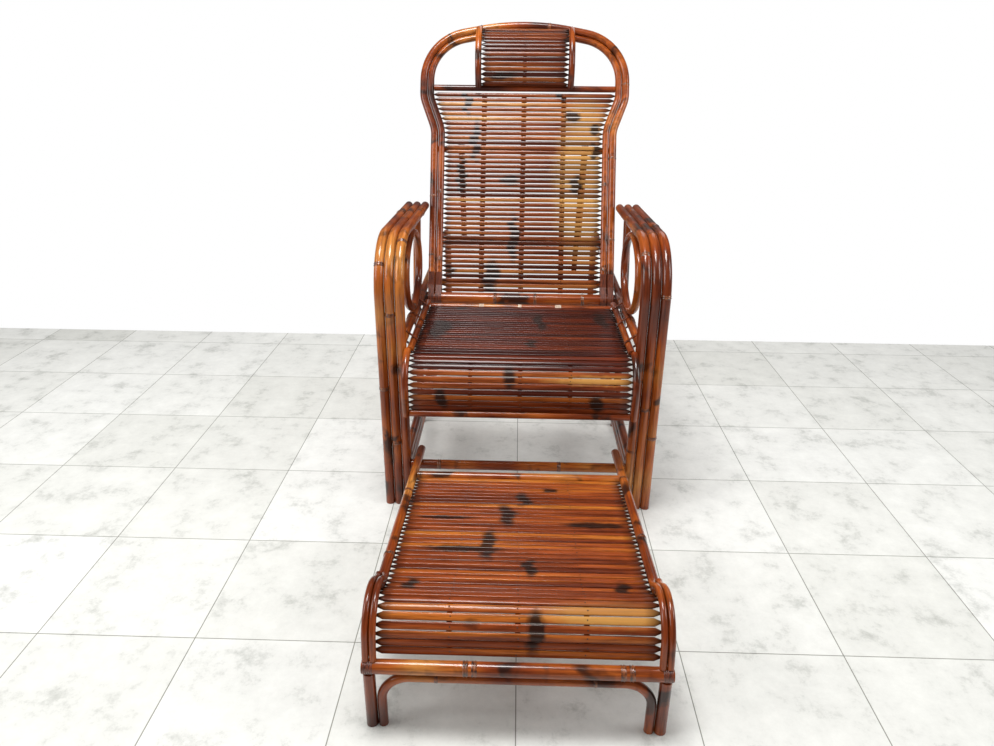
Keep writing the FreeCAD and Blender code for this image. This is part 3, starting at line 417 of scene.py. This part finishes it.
foot_bamboo = slat_finish("split bamboo of the footrest", ("5f240a", "93431a", "b0601f", "cc8434"),
                          FOOT_MARKS, [((150, -612, 208), (115, 26, 22))], (-540, -610, 0.12))
print("placed marks:", len(SEAT_MARKS) + len(FOOT_MARKS) + len(BACK_MARKS) + len(HEAD_MARKS))

# %% [markdown]
# ## Small finishes
# The battens behind the slats are thin strips of bamboo skin, dark red from the stain. Nail heads
# are dull iron. The knots of a cane take less stain on their raised rims and more in the groove.
# Wraps are strips of peeled cane, pale where they were never stained. A cut end shows the pores.

# %% Battens, nails, knots, wraps and cut ends
def plain_finish(name, dark, light, size, roughness, coat, stretch=(1.0, 1.0, 1.0)):
    """A two-tone finish whose noise has this feature size, with matching bump."""
    material, tree, shader = new_material(name)
    place = add(tree, "TexCoord").outputs["Object"]
    laid = add(tree, "Mapping", {"Vector": place, "Scale": stretch}).outputs["Vector"]
    noise = add(tree, "TexNoise", {"Vector": laid, "Scale": per(size),
                                   "Detail": 4.0}).outputs["Fac"]
    colour = add(tree, "ValToRGB", {"Fac": noise}, [(0.35, dark), (0.65, light)])
    tree.links.new(colour.outputs["Color"], shader.inputs["Base Color"])
    shader.inputs["Roughness"].default_value = roughness
    shader.inputs["Coat Weight"].default_value = coat
    bump = add(tree, "Bump", {"Height": noise, "Strength": 0.3, "Distance": 0.2 * MM})
    tree.links.new(bump.outputs["Normal"], shader.inputs["Normal"])
    return material


batten_skin = plain_finish("stained bamboo skin", "5a2010", "8a3f1c", 9, 0.45, 0.3, (3.0, 0.2, 0.2))
iron = plain_finish("dull iron nails", "120b09", "2a1a14", 3, 0.45, 0.0)
knot_skin = plain_finish("knot rims of the cane", "2a1009", "8a4a20", 7, 0.35, 0.7)
pale_peel = plain_finish("pale peeled cane", "a88f78", "d8c8b4", 5, 0.55, 0.1, (3.0, 0.4, 0.4))
dark_peel = plain_finish("stained peeled cane", "3a150b", "75351a", 5, 0.42, 0.5, (3.0, 0.4, 0.4))
cut_cane = plain_finish("cut end of cane", "4a2a16", "9a6a3c", 1.6, 0.7, 0.1)
print("materials:", len(bpy.data.materials))

# %% [markdown]
# ## Finishes on the model's own canes
# The round canes of the frame have the right shape and stay as they are. Each gets the cane
# finish whose fibres run along it.

# %% Give every node of the frame its finish
FINISHES = {
    side_cane: ["arm_cane", "side_rail", "base_rails", "rear_post", "arm_ring", "hinge_block",
                "_rack", "seat_side_cane", "seat_nose_cane", "head_canes", "prop_legs",
                "footrest_side_cane", "footrest_bows", "footrest_legs"],
    cross_cane: ["stretcher", "rack_upper_rail", "rack_foot_rail", "seat_rear_bar",
                 "seat_front_bar", "seat_bearers", "hinge_rod", "prop_rod", "head_bar",
                 "prop_foot_bar", "footrest_front_rail", "footrest_rear_bar"],
    hoop_cane: ["hoop"],
    arch_cane: ["footrest_arch"],
    batten_skin: ["_battens", "head_batten"],
    dark_peel: ["seat_lashings", "hinge_straps"],
    cut_cane: ["arm_dowels"],
}
for node_name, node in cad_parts.items():
    for finish, endings in FINISHES.items():
        if any(node_name.endswith(ending) for ending in endings):
            for slot in node.material_slots:
                slot.material = finish
print("nodes with a finish:", sum(any(n.endswith(e) for ends in FINISHES.values() for e in ends)
                                  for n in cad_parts))

# %% [markdown]
# ## Whittled slats
# The model's slats are flat and straight-sided. Real ones are split from a round pole, so the
# face is crowned, the edges are soft and no two are quite alike. Each new slat takes its place,
# length and width from one of the model's. Those come in one mesh for a whole row, which is
# first taken apart into its separate solids. In a slat's corners, sorted by X, the first four
# are its tip and the next four its neck. The eight nearest the middle are its two shoulders.

# %% Take a row of slats apart
def solids(name):
    """The corners of each separate solid of a node."""
    mesh = bmesh.new()
    mesh.from_mesh(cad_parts[name].data)
    bmesh.ops.remove_doubles(mesh, verts=mesh.verts, dist=0.01 * MM)
    left = set(mesh.verts)
    found = []
    while left:
        queue = [left.pop()]
        corners = []
        while queue:
            vert = queue.pop()
            corners.append(vert.co.copy())
            for edge in vert.link_edges:
                other = edge.other_vert(vert)
                if other in left:
                    left.remove(other)
                    queue.append(other)
        found.append(sorted(corners, key=lambda c: c.x))
    mesh.free()
    return sorted(found, key=lambda c: (round(c[0].y, 4), c[0].z))


def slat_frame(corners):
    """Middle, width vector and outward vector of a slat, and how far out its parts reach."""
    shoulders = sorted(corners, key=lambda c: abs(c.x))[:8]
    first, *others = [c for c in shoulders if c.x < 0]
    thick, wide, _ = sorted((c - first for c in others), key=lambda d: d.length)
    if thick.z < thick.y:
        thick = -thick
    middle = sum(shoulders, Vector()) / len(shoulders)
    return middle, wide, thick, [-corners[0].x, -corners[4].x, -first.x]


seat_solids = solids("seat_slats")
print("slats in the seat:", len(seat_solids), "corners each:", {len(c) for c in seat_solids})

# %% Build the rows of slats
PROFILE = [(1.0, -0.1), (0.95, 0.50), (0.68, 0.82), (0.0, 1.0), (-0.68, 0.82), (-0.95, 0.50),
           (-1.0, -0.1), (-0.92, -0.85), (0.92, -0.85)]     # across the slat, and out of its face
# The dark at the whittled ends is painted shade, where the slat ends tuck in beside the canes.
END_SHADE_REACH = 15            # how far the dark of the whittled ends runs on into the slat


def link_piece(mesh, name, body, finishes):
    """Make a bmesh into a shown piece that moves with a body."""
    bmesh.ops.recalc_face_normals(mesh, faces=mesh.faces)
    data = bpy.data.meshes.new(name)
    mesh.to_mesh(data)
    mesh.free()
    for finish in finishes:
        data.materials.append(finish)
    data.shade_smooth()
    piece = bpy.data.objects.new(name, data)
    bpy.context.scene.collection.objects.link(piece)
    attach(piece, body)
    return piece


def slat_row(name, node, body, finish, seed, spread=0.13):
    """One crowned and whittled slat for each of the node's solids."""
    chance = random.Random(seed)
    mesh = bmesh.new()
    tone, shift, whittled = (mesh.verts.layers.float.new(n) for n in ("tone", "shift", "whittled"))
    for corners in solids(node):
        middle, wide, out, (tip, neck, shoulder) = slat_frame(corners)
        own_tone, own_shift = chance.gauss(0, spread), chance.uniform(-7, 7) * MM
        inner = shoulder - chance.uniform(0, 3.5) * MM
        # The last number of each place is the painted shade of the whittled end: full at tip and
        # neck, half at the shoulder, none further in.
        places = [(-tip, 0.34, 0.72, 1.0), (-neck, 0.36, 0.72, 1.0), (-inner, 1.0, 1.0, 0.5),
                  (-inner + END_SHADE_REACH * MM, 1.0, 1.0, 0.0)]
        for k in range(1, 8):
            at = inner * (k / 4 - 1) + chance.uniform(-6, 6) * MM
            places.append((at, chance.uniform(0.955, 1.0), 1.0, 0.0))
        places += [(inner - END_SHADE_REACH * MM, 1.0, 1.0, 0.0), (inner, 1.0, 1.0, 0.5),
                   (neck, 0.36, 0.72, 1.0), (tip, 0.34, 0.72, 1.0)]
        sink = out * chance.uniform(0.0, 0.05)
        ring = [mesh.verts.new((0, a, b)) for a, b in PROFILE]
        edges = [mesh.edges.new((ring[k - 1], ring[k])) for k in range(len(ring))]
        first_face = mesh.faces.new(ring)
        bmesh.ops.delete(mesh, geom=[first_face], context="FACES_ONLY")
        before = Matrix.Identity(4)
        for k, (at, wider, thicker, end_shade) in enumerate(places):
            half_wide, half_thick = wide * wider / 2, out * thicker / 2
            origin = middle + Vector((at, 0, 0)) - sink
            now = Matrix(((1, half_wide.x, half_thick.x, origin.x),
                          (0, half_wide.y, half_thick.y, origin.y),
                          (0, half_wide.z, half_thick.z, origin.z), (0, 0, 0, 1)))
            if k:
                grown = bmesh.ops.extrude_edge_only(mesh, edges=edges)["geom"]
                ring = [g for g in grown if isinstance(g, bmesh.types.BMVert)]
                edges = [g for g in grown if isinstance(g, bmesh.types.BMEdge)
                         and g.verts[0] in ring and g.verts[1] in ring]
            bmesh.ops.transform(mesh, matrix=now @ before.inverted(), verts=ring)
            before = now
            for vert in ring:
                vert[tone], vert[shift], vert[whittled] = own_tone, own_shift, end_shade
    piece = link_piece(mesh, name, body, [finish])
    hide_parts(node)
    print(name, "polygons:", len(piece.data.polygons))


slat_row("seat_slat_row", "seat_slats", "chair_frame", seat_bamboo, 11)
slat_row("footrest_slat_row", "footrest_slats", "footrest", foot_bamboo, 12)
slat_row("back_slat_row", "back_slats", "backrest", back_bamboo, 13)
slat_row("head_slat_row", "head_slats", "backrest", head_bamboo, 14)

# %% [markdown]
# ## Nails
# Every slat is nailed to each batten behind it. The heads stand a little proud of the crown, and
# wander by a couple of millimetres from a straight line.

# %% Nail heads
NAIL_HEAD = 1.5


def nails(name, node, body, columns, seed):
    """A nail head on every slat at each of the columns, given in millimetres from the middle."""
    chance = random.Random(seed)
    mesh = bmesh.new()
    for corners in solids(node):
        middle, wide, out, _ = slat_frame(corners)
        turned = Matrix((Vector((1, 0, 0)), wide.normalized(), out.normalized())).transposed()
        for column in columns:
            at = middle + Vector(((column + chance.uniform(-2, 2)) * MM, 0, 0))
            at += wide * chance.uniform(-0.13, 0.13) + out * 0.48
            bmesh.ops.create_cone(mesh, cap_ends=True, segments=8, radius1=NAIL_HEAD * MM,
                                  radius2=NAIL_HEAD * 0.6 * MM, depth=0.7 * MM,
                                  matrix=Matrix.Translation(at) @ turned.to_4x4())
    link_piece(mesh, name, body, [iron])


nails("seat_nail_heads", "seat_slats", "chair_frame", (-110, 0, 110), 21)
nails("footrest_nail_heads", "footrest_slats", "footrest", (-110, 0, 110), 22)
nails("back_nail_heads", "back_slats", "backrest", (-110, 0, 110), 23)
nails("head_nail_heads", "head_slats", "backrest", (0,), 24)

# %% [markdown]
# ## Knots, wraps and cut ends
# A knot is where a leaf once grew round the cane: two raised rims with a groove between. It is a
# short profile spun round the cane's own line. A wrap of peeled cane is spun the same way, from a
# profile with one hump per coil, and so is the bevelled disc that shows the pith of a cut end.
# Where a cane bends, its line is written as corners and bend radii, as it was drawn. Walking
# along those points gives a place and a direction at any distance.

# %% Lines with rounded corners
def rounded(corners, radii):
    """Points along straight runs that are joined by arcs of the given radii, in a plane."""
    corners = [Vector(c) for c in corners]
    points = [corners[0]]
    for before, corner, after, radius in zip(corners, corners[1:], corners[2:], radii):
        inward, outward = (corner - before).normalized(), (after - corner).normalized()
        angle = inward.angle(outward)
        side = math.copysign(1.0, inward.x * outward.y - inward.y * outward.x)
        start = corner - inward * radius * math.tan(angle / 2)
        centre = start + Vector((-inward.y, inward.x)) * side * radius
        steps = max(2, round(math.degrees(angle) / 4))
        points += [centre + Matrix.Rotation(side * angle * k / steps, 2) @ (start - centre)
                   for k in range(steps + 1)]
    return points + [corners[-1]]


def walk(points, distance):
    """The place and direction at a distance along the points."""
    for a, b in zip(points, points[1:]):
        if distance <= (b - a).length:
            break
        distance -= (b - a).length
    along = (b - a).normalized()
    return a + along * distance, along


def spun(mesh, profile, at, along, radius):
    """Spin a profile of (distance along, distance out of the surface) pairs round a line."""
    old = len(mesh.verts)
    ring = [mesh.verts.new(((radius + out) * MM, 0, step * MM)) for step, out in profile]
    edges = [mesh.edges.new(pair) for pair in zip(ring, ring[1:])]
    bmesh.ops.spin(mesh, geom=ring + edges, cent=(0, 0, 0), axis=(0, 0, 1), angle=math.tau,
                   steps=24, use_merge=True)
    turned = along.to_track_quat("Z", "Y").to_matrix().to_4x4()
    bmesh.ops.transform(mesh, matrix=Matrix.Translation(at) @ turned, verts=list(mesh.verts)[old:])


KNOT = [(-5.5, -0.2), (-3.6, 0.25), (-2.6, 1.0), (-1.7, 0.35), (-0.6, 0.02), (0.5, 0.3),
        (1.5, 1.25), (2.6, 0.5), (4.2, 0.1), (6.0, -0.2)]
SMALL_KNOT = [(-3.4, -0.2), (-1.8, 0.6), (-0.7, 0.2), (0.4, 0.75), (1.5, 0.5), (3.6, -0.2)]
ARM_CORNERS, ARM_BEND = [(505, 636), (0, 651), (0, 0)], [120]
BACK_X, SHOULDER_OUT, SHOULDER_FROM, SHOULDER_TO, HOOP_INSET = 246.2, 32.5, 468, 556, 19.55
SHOULDER_LEAN = math.radians(20.3)
BACK_TOP, CROWN_BEND = 758, 669
UP_BACK = Vector((0, math.sin(BACK_LEAN), math.cos(BACK_LEAN)))


def in_side_plane(x, corners, radii, distances):
    """Places and directions along a cane that bends in the side plane at x."""
    line = rounded(corners, radii)
    found = []
    for distance in distances:
        (y, z), along = walk(line, distance)
        found.append((chair(x, y, z), Vector((0, along.x, along.y))))
    return found


def across(y, z, columns):
    """Places and directions along a straight cane that lies across the chair."""
    return [(chair(x, y, z), Vector((1, 0, 0))) for x in columns]


def on_hoop(inset, places):
    """Places and directions on the sides of a back hoop: which side, -1 or 1, and how far up."""
    found = []
    for side, s in places:
        flare = min(max((s - SHOULDER_FROM) / (SHOULDER_TO - SHOULDER_FROM), 0.0), 1.0)
        lean = SHOULDER_LEAN * side if 0 < flare < 1 else 0.0
        x = side * (BACK_X - inset + SHOULDER_OUT * flare)
        along = UP_BACK * math.cos(lean) + Vector((math.sin(lean), 0, 0))
        found.append((chair(*on_back(x, s)), along))
    return found


def on_arch(columns):
    """Places and directions along the crown of the outer hoop."""
    found = []
    for x in columns:
        angle = math.asin(x / CROWN_BEND)
        s = BACK_TOP - CROWN_BEND * (1 - math.cos(angle))
        along = Vector((math.cos(angle), 0, 0)) - UP_BACK * math.sin(angle)
        found.append((chair(*on_back(x, s)), along))
    return found


print("points along an arm cane:", len(rounded(ARM_CORNERS, ARM_BEND)))

# %% Knots on the canes
ARM_PLACES = {268.5: (190, 468, 760), 291.0: (90, 395, 830), 313.5: (300, 560, 905),
              -268.5: (110, 440, 735), -291.0: (240, 610, 930), -313.5: (150, 500, 790)}
FOOT_LINE = [(45, 127.2), (-530, 179.3), (-589, 221.3), (-628, 181.3), (-636, 136)]
FOOT_BENDS = [60, 46, 44]
SIDE_RAIL_X, SIDE_RAIL_LINE = 268.55, [(0, 424), (404, 424)]

knots = {
    "chair_frame": [(11.0, KNOT, in_side_plane(x, ARM_CORNERS, ARM_BEND, distances))
                    for x, distances in ARM_PLACES.items()]
                   + [(11.5, KNOT, across(0, 110, (-190, 98))),
                      (11.0, KNOT, across(470, 105.5, (-60, 150))),
                      (10.0, KNOT, across(540, 408, (-90, 120)))]
                   + [(10.5, KNOT, in_side_plane(side * SIDE_RAIL_X, SIDE_RAIL_LINE, [], (150, 330)))
                      for side in (-1, 1)],
    "backrest": [(10.3, SMALL_KNOT, on_hoop(0, [(-1, 283), (-1, 120), (1, 168), (1, 393),
                                                (1, 597)])),
                 (8.75, KNOT, on_hoop(HOOP_INSET, [(-1, 295), (1, 320), (1, 86), (-1, 110)])),
                 (10.3, KNOT, on_arch((-122, 66)))],
    "hinge_rod": [(17.0, KNOT, across(407, 400, (-70, 40, 170)))],
    "footrest": [(12.0, KNOT, across(-652, 123.5, (-82, -68, 168, 182))),
                 (8.0, SMALL_KNOT, across(-652, 103.2, (-129, 125))),
                 (9.5, KNOT, in_side_plane(-238, FOOT_LINE, FOOT_BENDS, (230, 480))),
                 (9.5, KNOT, in_side_plane(238, FOOT_LINE, FOOT_BENDS, (150, 400)))],
    "prop": [(10.0, KNOT, across(660, 500, (-120, 80)))],
}
for body, groups in knots.items():
    mesh = bmesh.new()
    for radius, profile, places in groups:
        for at, along in places:
            spun(mesh, profile, at, along, radius)
    link_piece(mesh, body + "_knots", body, [knot_skin])
print("knots:", sum(len(group[-1]) for groups in knots.values() for group in groups))

# %% Wraps of peeled cane
COIL = [(0.0, -0.2), (0.5, 0.5), (1.6, 0.9), (2.7, 0.5), (3.2, 0.0)]
COIL_WIDTH = COIL[-1][0]


def wrap_profile(coils):
    """As many coils of peeled cane side by side, centred on the place."""
    width = COIL_WIDTH * coils
    return [(COIL_WIDTH * k + step - width / 2, out) for k in range(coils) for step, out in COIL]


def wraps(name, body, node, columns, finish):
    """Coils of peel round a straight cross cane, at (column, number of coils) pairs."""
    low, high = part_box(node)
    middle = (low + high) / 2
    mesh = bmesh.new()
    for x, coils in columns:
        spun(mesh, wrap_profile(coils), Vector((x * MM, middle.y, middle.z)), Vector((1, 0, 0)),
             (high.z - low.z) / 2 / MM)
    link_piece(mesh, name, body, [finish])
    print(name, "coils:", sum(coils for x, coils in columns))


wraps("seat_rear_wraps", "chair_frame", "seat_rear_bar", ((-104, 4), (-2, 3), (100, 5)), pale_peel)
wraps("footrest_rail_wraps", "footrest", "footrest_front_rail", ((-238, 5), (238, 5)), dark_peel)

# %% Cut ends
CUT_ENDS = {
    "chair_frame": [(x, 505, 636, (0, 1, -0.03), 11.0)
                    for x in (-313.5, -291, -268.5, 268.5, 291, 313.5)],
    "hinge_rod": [(-300, 407, 400, (-1, 0, 0), 11.0), (300, 407, 400, (1, 0, 0), 11.0)],
    "prop": [(-252, 660, 500, (-1, 0, 0), 10.0), (252, 660, 500, (1, 0, 0), 10.0)],
    "footrest": [(-247.5, -652, 123.5, (-1, 0, 0), 12.0), (247.5, -652, 123.5, (1, 0, 0), 12.0),
                 (-238, 45, 127.2, (0, 1, -0.09), 9.5), (238, 45, 127.2, (0, 1, -0.09), 9.5)],
}
for body, ends in CUT_ENDS.items():
    mesh = bmesh.new()
    for x, y, z, along, radius in ends:
        disc = [(0.05, 0.0), (0.5, -0.7), (0.5, -0.45 * radius), (0.15, -0.6 * radius),
                (0.1, -0.98 * radius)]
        spun(mesh, disc, chair(x, y, z), Vector(along).normalized(), radius)
    link_piece(mesh, body + "_cut_ends", body, [cut_cane])
print("cut ends:", sum(len(ends) for ends in CUT_ENDS.values()))
